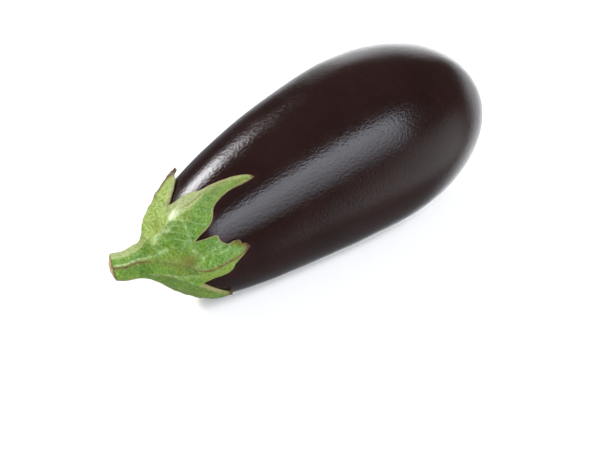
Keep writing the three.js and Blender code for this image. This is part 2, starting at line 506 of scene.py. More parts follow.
@dataclass(frozen=True)
class GreenFinish:
    """Fleshy green of the calyx and the stem: veined, pale at the margins, brown where it is scarred, with
    painted light on its upper faces and one painted highlight.
    """

    name: str = "calyx_green"
    deep: Colour = (0.043, 0.118, 0.003)
    mid: Colour = (0.078, 0.172, 0.008)
    light: Colour = (0.205, 0.268, 0.030)
    olive: Colour = (0.150, 0.178, 0.012)
    tan: Colour = (0.208, 0.206, 0.092)
    pale: Colour = (0.370, 0.450, 0.215)
    straw: Colour = (0.235, 0.185, 0.080)
    ochre: Colour = (0.125, 0.110, 0.018)
    brown: Colour = (0.052, 0.022, 0.008)
    pith: Colour = (0.500, 0.370, 0.230)

    def build(self) -> bpy.types.Material:
        """Makes the material."""
        material, bench = new_material(self.name)
        where = bench.place()
        colour, net = self.green(bench, where)
        colour = self.stained(bench, where, colour)
        cut = bench.mark("cut")
        colour = bench.mix(cut, colour, self.cut_face(bench, where))
        rough = bench.cloud(where, Cloud(150, 4, 0.6, (0.3, 0.7), (0.40, 0.55)))
        rough = bench.math("SUBTRACT", rough, bench.math("MULTIPLY", bench.mark("gloss"), 0.30))
        rough = bench.math("ADD", rough, bench.math("MULTIPLY", cut, 0.3), clamp=True)
        normal = self.relief(bench, where, net)
        inputs = {"Base Color": colour, "Roughness": rough, "Normal": normal, "IOR": 1.33,
                  "Subsurface Weight": 0.08, "Subsurface Radius": (0.0010, 0.0016, 0.0004),
                  "Subsurface Scale": 1.0}
        shader = bench.node("BsdfPrincipled", inputs)
        bench.node("OutputMaterial", {"Surface": shader.outputs[0]})
        return material

    def green(self, bench: Bench, where: Socket) -> tuple[Socket, Socket]:
        """Makes the living colour, with painted light on the upper faces and one painted highlight.

        Args:
            bench: the material's nodes.
            where: object coordinates.

        Returns:
            The colour, and the amount of its net of fine veins.
        """
        colour = bench.mix(bench.cloud(where, Cloud(150, 4, 0.6, (0.36, 0.62))), self.deep, self.mid)
        layers = (
            (Cloud(95, 3, 0.6, (0.50, 0.66), (0.0, 0.45)), self.olive, ""),
            # Painted light: the paleness mark lightens the upper, lit faces, and it also holds a few real
            # paler patches.
            (Cloud(380, 3, 0.65, (0.30, 0.65), (0.72, 1.0)), self.light, "paleness_and_painted_light"),
            # The tan mark is partly painted light: a straw tint on the upper, lit faces.
            (Cloud(1100, 3, 0.7, (0.36, 0.62), (0.45, 1.0)), self.tan, "tan"),
            (Cloud(520, 3, 0.65, (0.48, 0.70), (0.0, 0.34)), self.light, ""),
            (Cloud(800, 2, 0.6, (0.48, 0.64), (0.0, 0.62)), self.deep, ""),
        )
        for cloud, tint, mark in layers:
            colour = bench.layer(where, colour, cloud, tint, mark)
        cells = bench.node("TexVoronoi", {"Vector": where, "Scale": 620.0}, feature="DISTANCE_TO_EDGE")
        net = bench.ramp(cells.outputs["Distance"], 0.02, 0.12, (0.16, 0.0))
        colour = bench.mix(net, colour, self.pale)
        broken = Cloud(650, 2, 0.5, (0.34, 0.58), (0.35, 1.0))
        # The vein mark also carries a painted highlight: a pale spot on the waxy swelling at the top lobe's
        # root.
        return bench.layer(where, colour, broken, self.pale, "vein"), net

    def stained(self, bench: Bench, where: Socket, colour: Socket) -> Socket:
        """Adds the straw rim and the brown of scars and dry places.

        Args:
            bench: the material's nodes.
            where: object coordinates.
            colour: the living colour.

        Returns:
            The stained colour.
        """
        wander = bench.math("MULTIPLY", bench.noise(where, 420, 2), 0.7)
        rim = bench.ramp(bench.math("SUBTRACT", bench.mark("edge_mm"), wander), -0.15, 0.30, (0.65, 0.0))
        colour = bench.mix(rim, colour, self.straw)
        stain = bench.mark("brownness")
        colour = bench.mix(bench.math("MULTIPLY", stain, 1.5, clamp=True), colour, self.ochre)
        spots = bench.math("ADD", 0.45, bench.cloud(where, Cloud(700, 3, 0.7, (0.44, 0.60))))
        dark = bench.math("MULTIPLY", bench.math("POWER", stain, 2.2), spots, clamp=True)
        colour = bench.mix(dark, colour, self.brown)
        return bench.layer(where, colour, Cloud(1300, 1, 0.5, (0.70, 0.76), (0.0, 0.40)), self.straw)

    def cut_face(self, bench: Bench, where: Socket) -> Socket:
        """Pale pith, browned towards its rim."""
        face = bench.mix(bench.cloud(where, Cloud(1100, 3, 0.7, (0.35, 0.7))), self.pith, self.straw)
        return bench.mix(bench.ramp(bench.mark("cut_radius"), 0.70, 1.0, (0.0, 0.85)), face, self.brown)

    def relief(self, bench: Bench, where: Socket, net: Socket) -> Socket:
        """Bumps the surface, less where it is waxy.

        Args:
            bench: the material's nodes.
            where: object coordinates.
            net: the amount of the net of fine veins.

        Returns:
            The normal.
        """
        crinkle = bench.math("ABSOLUTE", bench.math("SUBTRACT", bench.noise(where, 230, 3, 0.6), 0.5))
        calm = bench.math("MULTIPLY", bench.mark("gloss"), 0.85)
        rugged = bench.math("SUBTRACT", 1.0, calm, clamp=True)
        normal = None
        for height, distance in ((bench.noise(where, 330, 4, 0.6), 0.00085), (crinkle, -0.0018),
                                 (net, 0.00012), (bench.noise(where, 1400, 2, 0.6), 0.00016)):
            normal = bench.bump(height, distance, rugged, normal)
        return normal


@dataclass(frozen=True)
class FloorFinish:
    """Plain pale ground."""

    colour: Colour = (0.86, 0.815, 0.75)

    def build(self) -> bpy.types.Material:
        """Makes the material."""
        material, bench = new_material("plain_ground")
        shader = bench.node("BsdfPrincipled", {"Base Color": self.colour, "Roughness": 0.9,
                                               "Specular IOR Level": 0.0})
        bench.node("OutputMaterial", {"Surface": shader.outputs[0]})
        return material


# ---------------------------------------------------------------------------------------------------------
# Pieces
# ---------------------------------------------------------------------------------------------------------

@dataclass
class Fruit:
    """The dark fruit, drawn out ring by ring from its crown to the scar at its blossom end."""

    form: Form
    finish: SkinFinish = SkinFinish()
    spokes: int = 48
    rings: int = 60
    scar_radius: float = 2.6
    unevenness: float = 0.5
    piece: bpy.types.Object = field(init=False, default=None)

    def stations(self) -> np.ndarray:
        """Distances along the side of the rings, closer together at both ends."""
        t = np.linspace(0.0, 1.0, self.rings)
        eased = t - 0.6 * np.sin(2 * math.pi * t) / (2 * math.pi)
        return 1.6 + eased * (self.form.reach[-1] - 1.6 - self.scar_radius)

    def ring(self, distance: float, height: float = 0.0) -> tuple[Vector, float]:
        """A ring's centre and radius, in metres."""
        x, radius = self.form.beside(distance, height)
        side, up = self.form.axis_shift(x)
        return Vector((x, side, up)) * MM, radius * MM

    def build(self) -> bpy.types.Object:
        """Models the fruit.

        Returns:
            The finished piece, undressed.
        """
        where = self.stations()
        centre, radius = self.ring(where[0])
        start_alone()
        bpy.ops.mesh.primitive_circle_add(vertices=self.spokes, radius=radius, fill_type="TRIFAN",
                                          location=centre, rotation=(0, math.pi / 2, 0))
        self.piece = bpy.context.object
        self.piece.name = self.piece.data.name = "fruit_skin"
        bpy.ops.object.transform_apply(location=True, rotation=True, scale=True)
        bpy.ops.object.mode_set(mode="EDIT")
        self.select_outer_ring(centre, radius)
        for distance in where[1:]:
            centre, radius = self.extrude_ring(centre, radius, *self.ring(distance))
        tip = self.form.length * MM
        for inset, dent in ((0.62, -0.10), (0.50, 0.25), (0.30, 0.50)):
            goal = Vector((tip - dent * MM, *centre[1:]))
            centre, radius = self.extrude_ring(centre, radius, goal, self.scar_radius * inset * MM)
        bpy.ops.mesh.merge(type="CENTER")
        bpy.ops.mesh.select_all(action="SELECT")
        bpy.ops.mesh.normals_make_consistent(inside=False)
        bpy.ops.object.mode_set(mode="OBJECT")
        self.lay_down()
        apply_modifier(self.piece, "SUBSURF", levels=2, render_levels=2)
        clouds = bpy.data.textures.new("slow_lumps", "CLOUDS")
        clouds.noise_scale = 0.045
        apply_modifier(self.piece, "DISPLACE", texture=clouds, texture_coords="LOCAL",
                       strength=self.unevenness * MM, mid_level=0.5)
        self.press_flat()
        only(self.piece)
        bpy.ops.object.shade_smooth()
        return self.piece

    def select_outer_ring(self, centre: Vector, radius: float) -> None:
        """Selects the vertices on a ring, in edit mode."""
        bpy.ops.mesh.select_mode(type="VERT")
        bpy.ops.mesh.select_all(action="DESELECT")
        mesh = bmesh.from_edit_mesh(self.piece.data)
        for vert in mesh.verts:
            vert.select_set((vert.co - centre).length > 0.5 * radius)
        mesh.select_flush_mode()
        bmesh.update_edit_mesh(self.piece.data)

    def extrude_ring(self, centre: Vector, radius: float, goal: Vector, size: float) -> tuple[Vector,
                     float]:
        """Draws the selected ring out to a new place and size.

        Args:
            centre: where the ring is.
            radius: its size now.
            goal: where it goes.
            size: its new radius.

        Returns:
            The goal and the new radius.
        """
        bpy.ops.mesh.extrude_region_move(TRANSFORM_OT_translate={"value": tuple(goal - centre)})
        scale = size / radius
        bpy.ops.transform.resize(value=(1.0, scale, scale), center_override=tuple(goal))
        return goal, size

    def lay_down(self) -> None:
        """Tilts the fruit and puts it where the CAD fruit lies."""
        only(self.piece)
        self.piece.rotation_euler = (0.0, -self.form.tilt, 0.0)
        self.piece.location = Vector(self.form.place)
        bpy.ops.object.transform_apply(location=True, rotation=True, scale=True)

    def press_flat(self) -> None:
        """Flattens what would reach below the ground onto it."""
        only(self.piece)
        bpy.ops.object.mode_set(mode="EDIT")
        bpy.ops.mesh.select_mode(type="VERT")
        bpy.ops.mesh.select_all(action="DESELECT")
        mesh = bmesh.from_edit_mesh(self.piece.data)
        for vert in mesh.verts:
            vert.select_set(vert.co.z < 0.0)
        bmesh.update_edit_mesh(self.piece.data)
        bpy.ops.transform.resize(value=(1.0, 1.0, 0.0), center_override=(0.0, 0.0, 0.0))
        bpy.ops.object.mode_set(mode="OBJECT")

    def mark(self, margin: np.ndarray, cover: np.ndarray) -> None:
        """Marks how far each place is from the calyx, and the scar at the blossom end.

        Args:
            margin: points along the calyx's margin.
            cover: points all over the calyx.
        """
        points = coords(self.piece)
        distance = np.full(len(points), 60.0)
        close = np.nonzero(points[:, 0] < margin[:, 0].max() + 0.01)[0]
        distance[close] = nearest(points[close], margin) / MM
        under = close[nearest(points[close], cover) < 1.6 * MM]
        distance[under] = 0.0
        end = self.form.lay_down(np.array([[self.form.length, 0.0, 0.0]]))[0]
        away = np.linalg.norm(points - end, axis=1) / MM
        ragged = away + 0.5 * lumps(points / MM, 1.4, 3.0)
        scar = 1 - smooth(ragged, 1.2, 2.2)
        for name, values in (("from_calyx", distance), ("scar", scar)):
            layer = self.piece.data.attributes.new(name, "FLOAT", "POINT")
            layer.data.foreach_set("value", values.astype(np.float32))


@dataclass(frozen=True)
class Lobe:
    """One pointed lobe of the calyx.

    Attributes:
        edge: its margin as (angle, distance from the crown), from one valley over the tip, and short of
            the next valley.
        tip: which point of the edge is the tip.
        rib: its midrib as (distance from the crown, angle), from the collar to the tip.
        keel: the midrib's height over the margin, near the shoulder.
        lift: how far the tip stands off the fruit.
    """

    edge: tuple[tuple[float, float], ...]
    tip: int
    rib: tuple[tuple[float, float], ...]
    keel: float
    lift: float


LOBES = (
    Lobe(edge=((18, 22), (24, 27), (31, 31.5), (37, 36), (41.5, 42.5), (45.5, 39.5), (50, 38),
               (56, 36.5), (61.5, 34.2),
               (66, 31.5), (70, 28.3), (72.3, 25.8)), tip=4,
         rib=((0, 51), (4, 50), (12, 47), (18, 46), (22, 48), (26, 50), (31, 49), (37, 45),
              (42.5, 41.5)), keel=2.1, lift=1.8),
    Lobe(edge=((72, 24), (78, 25.5), (82, 27.8), (85, 30), (86.3, 31.6), (89.5, 33.5), (94, 35.5),
               (97, 38), (98.3, 40.5),
               (100.5, 43), (103, 46), (105.7, 49), (108.7, 52), (112, 54.4), (114.6, 55.9), (117, 56.3),
               (116, 53),
               (115, 49.6), (113.4, 46.3), (113, 43), (113.5, 40.2), (114.5, 37.6), (116.5, 35.8),
               (120, 34.2),
               (123.5, 32.8), (126.5, 31), (128.5, 28), (129.7, 25)),
         tip=15, rib=((0, 99), (5, 99), (9, 95), (15, 92), (20.3, 98), (24.3, 102), (28.5, 105),
                      (32.3, 105), (36.5, 103.5),
                      (41, 105), (47.5, 109), (52, 112.5), (56.3, 117)), keel=2.9, lift=1.0),
    Lobe(edge=((132, 22), (134, 24.2), (135.6, 26.4), (136.6, 28.6), (138, 30.8), (143, 31.2),
               (147.5, 32.2), (150.8, 33.9),
               (149.3, 35.4), (149.8, 37.2), (152, 38.3), (154.2, 38.4), (156, 40.3), (160, 41.2),
               (163.5, 38.9), (166.5, 36.3), (170, 34), (173.5, 32.6), (177, 30.7),
               (178.7, 28), (180.5, 25.2), (183.5, 22.7), (188, 20.5)),
         tip=13, rib=((0, 145), (4.5, 144), (9, 144), (14, 148), (17, 155), (19, 161), (21.5, 166),
                      (25.5, 166.5), (30, 164),
                      (35, 163), (41, 160)), keel=2.0, lift=0.9),
    Lobe(edge=((193.5, 19.2), (197.5, 21.8), (201.5, 24.6), (206, 28.4), (211, 32.8), (216, 32),
               (222, 29.4), (230, 26.4),
               (239, 23.6)), tip=4,
         rib=((0, 185), (3, 182), (7, 179), (11, 181), (16, 187), (22, 197), (28, 206), (32.8, 211)),
              keel=1.3, lift=0.4),
    Lobe(edge=((248, 21.5), (258, 27), (269, 32.5), (281, 38), (290, 32), (301, 26)), tip=3,
         rib=((0, 250), (16, 268), (38, 281)), keel=1.0, lift=0.2),
    Lobe(edge=((312, 21), (322, 27), (332, 34), (340, 42), (346, 50), (350, 41), (358, 33), (368, 27)),
               tip=4,
         rib=((0, 340), (30, 344), (50, 346)), keel=2.4, lift=2.0),
)


# Pale lines on the calyx, as (width, strength, points). The first is a painted highlight, a pale spot on the
# waxy swelling at the top lobe's root; the rest are pale veins.
STREAKS_AND_PAINTED_HIGHLIGHT = (
    (2.00, 1.00, ((96.5, 22.5), (94.5, 23.6))),
    (0.60, 0.34, ((107, 24), (111, 23.5), (120.5, 22), (129.5, 20.8), (138.5, 20.2), (146.5, 21.8),
    (151.5, 22.8))),
    (1.00, 0.62, ((104, 8.2), (93.5, 11), (92, 13.8), (96, 16), (100.5, 18))),
    (0.75, 0.50, ((125, 8.2), (121, 10), (119, 11))),
    (0.50, 0.40, ((135, 0), (134, 3), (131, 6.5))),
    (0.45, 0.25, ((148, 25), (149, 29), (147, 32.5))),
    (0.45, 0.22, ((152, 26), (154, 30), (153, 34))),
    (0.60, 0.30, ((186, 3), (179.5, 5.8), (175.5, 9), (176.5, 13.2), (173.5, 19))),
)


DRY_LINES = (
    (0.80, 0.85, ((46, 22), (49.5, 26), (50.5, 30), (50, 33), (48, 36), (44, 40))),
    (0.45, 0.45, ((98, 27), (101, 31), (102, 35), (103, 40), (107, 46))),
    (0.40, 0.40, ((206, 28), (211, 32))),
)


@dataclass(frozen=True)
class Spot:
    """A soft oval spot on the calyx.

    Attributes:
        strength: its value in the middle.
        middle: its (angle, distance from the crown).
        size: how far it reaches in angle and in distance.
    """

    strength: float
    middle: tuple[float, float]
    size: tuple[float, float]

    def at(self, angle: np.ndarray, distance: np.ndarray) -> np.ndarray:
        """The spot's value at each place."""
        across = (angle - self.middle[0]) / self.size[0]
        along = (distance - self.middle[1]) / self.size[1]
        return self.strength * np.exp(-(across ** 2) - along ** 2)


SWELLINGS = (Spot(1.8, (42, 15.5), (32, 5.5)), Spot(0.65, (93.2, 21.2), (5.5, 2.2)))
FRILL = Spot(1.8, (152, 37.5), (5.0, 3.0))
PALE_BELOW = Spot(0.22, (215, 14), (18, 5))
WAXY = Spot(1.0, (95, 22.8), (8, 3.2))
RUBBED = (Spot(0.85, (150, 17.5), (10, 3.4)), Spot(0.50, (146, 9.5), (11, 4.5)),
          Spot(0.30, (76, 15.5), (9, 2.6)), Spot(0.45, (184, 7.0), (9, 3.0)))
DRY_SPOT = Spot(0.7, (150.5, 37), (2.6, 1.8))
DRY_RIM = Spot(0.8, (156, 39), (4.5, 3.0))
DRY_TIPS = (8.5, 1.6, 3.2, 3.0, 3.0, 4.0)


@dataclass
class StemForm:
    """The stalk's thickness and its ridges, which run on into the midribs of the calyx."""

    form: Form
    outs: tuple[float, ...] = (0.0, 6.5, 9.0, 11.0, 13.5, 16.0, 18.9)
    radii: tuple[float, ...] = (7.6, 7.4, 7.1, 6.85, 6.3, 5.8, 5.45)
    ridge_height: float = 0.42
    ridge_width: float = 1.0

    def radius(self, out: np.ndarray) -> np.ndarray:
        """The stalk's plain radius at a distance out from the crown."""
        return np.interp(out, self.outs, self.radii)

    def ridges(self, angle: np.ndarray, radius: np.ndarray) -> np.ndarray:
        """How far the ridges raise the surface.

        Args:
            angle: turns about the stalk, in degrees.
            radius: the plain radius there.

        Returns:
            Heights in millimetres.
        """
        height = np.zeros_like(angle, dtype=float)
        for lobe in LOBES:
            turn = (angle - lobe.rib[0][1] + 180) % 360 - 180
            away = np.radians(turn) * radius
            height += self.ridge_height * np.exp(-np.sqrt(away ** 2 + 0.04) / self.ridge_width)
        return height


@dataclass
class Calyx:
    """The green cap: a collar that grows out of the stem and opens into pointed, keeled lobes."""

    form: Form
    stem: StemForm
    finish: GreenFinish = GreenFinish()
    spacing: float = 0.62
    collar_rows: int = 18
    lobe_rows: int = 44
    lining_rows: int = 12
    collar_out: float = 9.0
    shoulder_at: float = 16.0
    full_flare: tuple[tuple[float, float], ...] = ((-9.0, 7.1), (-5.6, 8.6), (0.2, 9.9))
    tight_flare: tuple[tuple[float, float], ...] = ((-9.0, 7.1), (-2.6, 6.4), (-0.6, 8.2))
    body: float = 1.2
    margin_thickness: float = 0.85
    piece: bpy.types.Object = field(init=False, default=None)

    def columns(self) -> dict[str, np.ndarray]:
        """Cuts the margin into even steps.

        Returns:
            For each column: its lobe, its side of the midrib (-1 to 1), and the angle and distance of its
            end on the margin, and its angle at the collar. The last column repeats the first.
        """
        out: dict[str, list] = {"lobe": [], "side": [], "angle": [], "distance": [], "collar": []}
        count = len(LOBES)
        for k, lobe in enumerate(LOBES):
            after = LOBES[(k + 1) % count]
            before = LOBES[k - 1]
            turn = 360.0 if k + 1 == count else 0.0
            back = 360.0 if k == 0 else 0.0
            edge = list(lobe.edge) + [(after.edge[0][0] + turn, after.edge[0][1])]
            rib = lobe.rib[0][1]
            low = (before.rib[0][1] - back + rib) / 2
            high = (after.rib[0][1] + turn + rib) / 2
            halves = ((edge[:lobe.tip + 1], low, rib, -1.0), (edge[lobe.tip:], rib, high, 0.0))
            for part, start, end, first in halves:
                path = self.smooth_path(np.array(part, float))
                share = np.linspace(0.0, 1.0, len(path))[:-1]
                out["lobe"] += [k] * len(share)
                out["side"] += list(first + share)
                out["angle"] += list(path[:-1, 0])
                out["distance"] += list(path[:-1, 1])
                out["collar"] += list(start + (end - start) * share)
        made = {key: np.array(values, float) for key, values in out.items()}
        order = np.arange(len(made["angle"]))
        ragged = np.cos(order * 2.3) * 0.10 + np.cos(order * 0.71) * 0.16
        made["distance"] += ragged * np.minimum(1.0, 4 * np.abs(made["side"]) * (1 - np.abs(made["side"])))
        crinkled = (made["lobe"] == 0) * smooth(made["distance"], 26, 31) * (made["side"] < 0)
        made["distance"] += 0.55 * crinkled * np.cos(order * 1.25)
        last = {"angle": 360.0, "collar": 360.0}
        return {key: np.append(values, values[0] + last.get(key, 0.0)) for key, values in made.items()}

    def smooth_path(self, points: np.ndarray) -> np.ndarray:
        """A smooth line through margin points, in even steps of about the wanted spacing."""
        before = 2 * points[0] - points[1]
        after = 2 * points[-1] - points[-2]
        knots = np.vstack([before, points, after])
        line = []
        for i in range(1, len(knots) - 2):
            p, q, r, s = knots[i - 1:i + 3]
            line.append(bezier([q, q + (r - p) / 6, r - (s - q) / 6, r], 24)[:-1])
        line = np.vstack(line + [points[-1:]])
        flat = line * np.array([math.radians(1) * 26, 1.0])
        reach = np.concatenate([[0.0], np.cumsum(np.linalg.norm(np.diff(flat, axis=0), axis=1))])
        even = np.linspace(0.0, reach[-1], max(6, round(reach[-1] / self.spacing)))
        return np.stack([np.interp(even, reach, line[:, i]) for i in (0, 1)], axis=1)

    def flare(self, distance: np.ndarray, sweep: Sequence[Sequence[float]]) -> np.ndarray:
        """One side of the surface that heights are measured from: the collar's flare, then the fruit's side.

        Args:
            distance: from the collar's edge at 0, and along the fruit's side past the shoulder.
            sweep: the flare's first three control points.

        Returns:
            Places along the axis, radii, and the two parts of the outward normal, one row each.
        """
        curve = bezier([*sweep, self.form.beside(self.shoulder_at, 0.0)])
        step = np.gradient(curve, axis=0)
        step /= np.linalg.norm(step, axis=1)[:, None]
        t = np.linspace(0.0, self.shoulder_at, len(curve))
        x, r = self.form.beside(distance, 0.0)
        x1, r1 = self.form.beside(distance, 1.0)
        pairs = ((x, curve[:, 0]), (r, curve[:, 1]), (x1 - x, -step[:, 1]), (r1 - r, step[:, 0]))
        return np.array([np.where(distance < self.shoulder_at, np.interp(distance, t, collar), fruit)
                         for fruit, collar in pairs])

    def base(self, distance: np.ndarray, angle: np.ndarray) -> np.ndarray:
        """Mixes the full flare of the upper side with the tight one underneath, as flare() returns them."""
        upper = 0.5 + 0.5 * np.cos(np.radians(angle - 62.0))
        full, tight = self.flare(distance, self.full_flare), self.flare(distance, self.tight_flare)
        mixed = upper * full + (1 - upper) * tight
        mixed[2:] /= np.linalg.norm(mixed[2:], axis=0)
        return mixed

    def build(self) -> bpy.types.Object:
        """Models the calyx.

        Returns:
            The finished piece, undressed.
        """
        ends = self.columns()
        collar = np.linspace(0.0, self.shoulder_at, self.collar_rows, endpoint=False)
        share = np.linspace(0.0, 1.0, self.lobe_rows) ** 0.9
        count = len(ends["angle"])
        past = share[:, None] * (ends["distance"] - self.shoulder_at)[None, :]
        distance = np.vstack([np.repeat(collar[:, None], count, axis=1), self.shoulder_at + past])
        angle = self.fan(distance, ends)
        flat = self.raise_sheet(distance, angle, ends)
        height, lining = flat["height"], flat["lining"]
        outside = self.points(distance, angle, height)
        rim = self.points(distance[-1:], angle[-1:], 0.5 * (height[-1:] + lining[-1:]), push=0.28)
        pick = np.unique(np.round(np.linspace(len(distance) - 1, 0, self.lining_rows)).astype(int))[::-1]
        inside = self.points(distance[pick], angle[pick], lining[pick])
        rows = np.concatenate([outside, rim, inside, outside[:1]])
        marks = {}
        for key in ("edge_mm", "vein", "paleness_and_painted_light", "tan", "gloss", "brownness"):
            values = flat[key]
            marks[key] = np.concatenate([values, values[-1:], values[pick], values[:1]])
        marks["cut"] = np.zeros_like(marks["vein"])
        marks["cut_radius"] = np.zeros_like(marks["vein"])
        self.margin = rim[0]
        self.cover = outside[self.collar_rows::3, ::3].reshape(-1, 3)
        self.piece = rolled_sheet("calyx_lobes", rows, marks)
        return self.piece

    def fan(self, distance: np.ndarray, ends: dict[str, np.ndarray]) -> np.ndarray:
        """The angle of every point: columns fan out from the collar and follow the midribs to the tips."""
        share = distance / ends["distance"][None, :]
        straight = ends["collar"] + (ends["angle"] - ends["collar"]) * share
        ribbed = np.empty_like(straight)
        for k, lobe in enumerate(LOBES):
            mine = ends["lobe"] == k
            if k == 0:
                mine[-1] = False
            rib_at, rib_angle = np.array(lobe.rib, float).T
            rib = np.interp(distance[:, mine], rib_at, rib_angle)
            rib_end = np.interp(ends["distance"][mine], rib_at, rib_angle)
            start = ends["collar"][mine] - rib_angle[0]
            end = ends["angle"][mine] - rib_end
            ribbed[:, mine] = rib + start + (end - start) * share[:, mine]
        ribbed[:, -1] = ribbed[:, 0] + 360.0
        weight = np.abs(ends["side"])[None, :] ** 1.5
        return ribbed * (1 - weight) + straight * weight

    def points(self, distance: np.ndarray, angle: np.ndarray, height: np.ndarray,
               push: float = 0.0) -> np.ndarray:
        """Laid-down points of the sheet.

        Args:
            distance: of each point, from the collar's edge.
            angle: of each point, in degrees.
            height: of each point over the base surface.
            push: how far to move each point out past the margin.

        Returns:
            Rows by columns by 3, in metres.
        """
        x, r, nx, nr = self.base(distance.reshape(-1), angle.reshape(-1))
        tall = height.reshape(-1)
        made = self.form.around(x + nx * tall + nr * push, r + nr * tall - nx * push,
                                np.radians(angle.reshape(-1)))
        return self.form.lay_down(made).reshape(*distance.shape, 3)

    def raise_sheet(self, distance: np.ndarray, angle: np.ndarray, ends: dict[str, np.ndarray]) -> dict:
        """Works out the sheet's relief and its colouring.

        Args:
            distance: of each point.
            angle: of each point.
            ends: the columns.

        Returns:
            For each point the height of the outer and the inner side, and the values that the finish reads.
        """
        shape = distance.shape
        places = self.points(distance, angle, np.zeros(shape)).reshape(-1, 3) / MM
        margin = self.points(distance[-1:], angle[-1:], np.zeros((1, shape[1])))[0] / MM
        to_edge = nearest(places, margin).reshape(shape)
        flat_distance, flat_angle = distance.reshape(-1), angle.reshape(-1)
        total = np.zeros(len(places))
        keel = np.zeros(len(places))
        lift = np.zeros(len(places))
        closest = np.full(len(places), 1e9)
        crease = np.zeros(len(places))
        for lobe in LOBES:
            rib_at, rib_angle = np.array(lobe.rib, float).T
            along = np.linspace(0.0, rib_at[-1], 90)
            away = nearest(places, self.line(along, np.interp(along, rib_at, rib_angle)))
            weight = 1.0 / (away ** 2 + 0.5) ** 1.5
            towards = np.clip((flat_distance - self.shoulder_at) / (rib_at[-1] - self.shoulder_at), 0.0, 1.0)
            start = 0.75 if lobe.keel > 2.0 else 0.45
            tall = lobe.keel * (start + (1 - start) * smooth(flat_distance, 2, 15))
            tall *= 1 - 0.72 * towards ** 1.3
            total += weight
            keel += weight * tall
            lift += weight * lobe.lift * towards ** 2
            crease += (0.35 + 0.25 * (1 - towards)) * np.exp(-away / 0.8)
            closest = np.minimum(closest, away)
        keel, lift = keel / total, lift / total
        edge = to_edge.reshape(-1)
        share = closest / (closest + edge + 1e-6)
        roof = keel * (1 - share) ** 1.1
        rough = 0.22 * lumps(places, 2.6, 1.7) + 0.30 * lumps(places, 7.0, 5.1)
        side_veins = np.abs(((flat_distance - 0.9 * closest) / 3.4) % 1.0 - 0.5)
        vein = np.exp(-((side_veins * 3.4) / 0.42) ** 2) * smooth(edge, 0.6, 2.2)
        vein *= smooth(flat_distance, 9, 17)
        vein *= 0.35 + 0.65 * smooth(lumps(places, 6.0, 9.3), -0.2, 0.5)
        plain = self.margin_thickness + (self.body - self.margin_thickness) * smooth(edge, 0.0, 3.0)
        height = plain + roof + crease + rough * smooth(edge, 0.0, 1.5) + 0.16 * vein
        grown = smooth(flat_distance, 0.0, 6.0)
        collar_radius = float(self.stem.radius(self.collar_out))
        stem_like = self.stem.ridges(flat_angle, np.full(len(places), collar_radius))
        height = stem_like * (1 - grown) + height * grown
        for swelling in SWELLINGS:
            height += swelling.at(flat_angle % 360, flat_distance)
        sunk = 1 - smooth(flat_distance, self.shoulder_at - 5, self.shoulder_at + 1)
        lining = -0.05 * np.ones(len(places)) - 1.1 * sunk
        curl = self.tip_curl(flat_distance, flat_angle, edge)
        dry = self.traced(places, DRY_LINES)
        height += dry * (0.40 + 0.55 * lumps(places, 1.5, 4.4))
        rib_line = np.exp(-closest / 0.55) * smooth(flat_distance, 12, 20)
        made = {
            "height": height + lift + curl,
            "lining": lining + lift + 0.8 * curl,
            "edge_mm": edge,
            # The vein mark holds one painted highlight from the streak table; paleness and tan are partly
            # painted light on the upper faces.
            "vein": np.clip(0.30 * vein + 0.25 * rib_line + self.traced(places, STREAKS_AND_PAINTED_HIGHLIGHT), 0, 1),
            "paleness_and_painted_light": self.paleness_and_painted_light(flat_distance, flat_angle),
            "tan": self.tan(flat_distance, flat_angle, edge),
            "gloss": self.gloss(flat_distance, flat_angle),
            "brownness": np.clip(self.brownness(flat_distance, flat_angle, closest, edge) + dry, 0, 1),
        }
        return {key: values.reshape(shape) for key, values in made.items()}

    def tip_curl(self, distance: np.ndarray, angle: np.ndarray, edge: np.ndarray) -> np.ndarray:
        """The dry roll at the tip of the wide front lobe."""
        return FRILL.at(angle, distance) * (1 - smooth(edge, 0.0, 2.2))

    def traced(self, places: np.ndarray, lines: Sequence[tuple]) -> np.ndarray:
        """How close each place is to lines drawn on the sheet.

        Args:
            places: in millimetres, one row each, on the base surface.
            lines: each a width, a strength and its (angle, distance) points.

        Returns:
            The strength of the strongest line at each place, fading over its width.
        """
        total = np.zeros(len(places))
        for width, strength, line in lines:
            at = np.linspace(0, len(line) - 1, 60)
            known = np.arange(len(line))
            angle, distance = (np.interp(at, known, values) for values in np.array(line, float).T)
            away = nearest(places, self.line(distance, angle))
            total = np.maximum(total, strength * np.exp(-(away / width) ** 2))
        return total

    def line(self, distance: np.ndarray, angle: np.ndarray) -> np.ndarray:
        """Points of a line on the base surface, in millimetres."""
        return self.points(distance[None, :], angle[None, :], np.zeros((1, len(distance))))[0] / MM

    def paleness_and_painted_light(self, distance: np.ndarray, angle: np.ndarray) -> np.ndarray:
        """Where the green is lighter: painted light on the upper faces and the far lobe, and a paler folded
        half of the front lobe.
        """
        turn = angle % 360
        ridge = np.interp(distance, *np.array(LOBES[1].rib, float).T)
        above = 1 - smooth(turn, ridge - 3.0, ridge + 2.5)
        # Painted light: the upper faces are painted paler.
        upper = 0.95 * above * smooth(turn, 20, 40)
        crease = np.interp(distance, *np.array(LOBES[2].rib, float).T)
        fold = 0.50 * smooth(turn, crease, crease + 5) * (1 - smooth(turn, 196, 204))
        fold *= smooth(distance, 17, 22)
        return np.clip(upper + fold + PALE_BELOW.at(turn, distance), 0.0, 1.0)

    def tan(self, distance: np.ndarray, angle: np.ndarray, edge: np.ndarray) -> np.ndarray:
        """Where the green is a dull straw: the far lobe's near edge, and, as painted light, the top lobe's
        upper face and the collar's upper side.
        """
        turn = angle % 360
        ridge = np.interp(distance, *np.array(LOBES[1].rib, float).T)
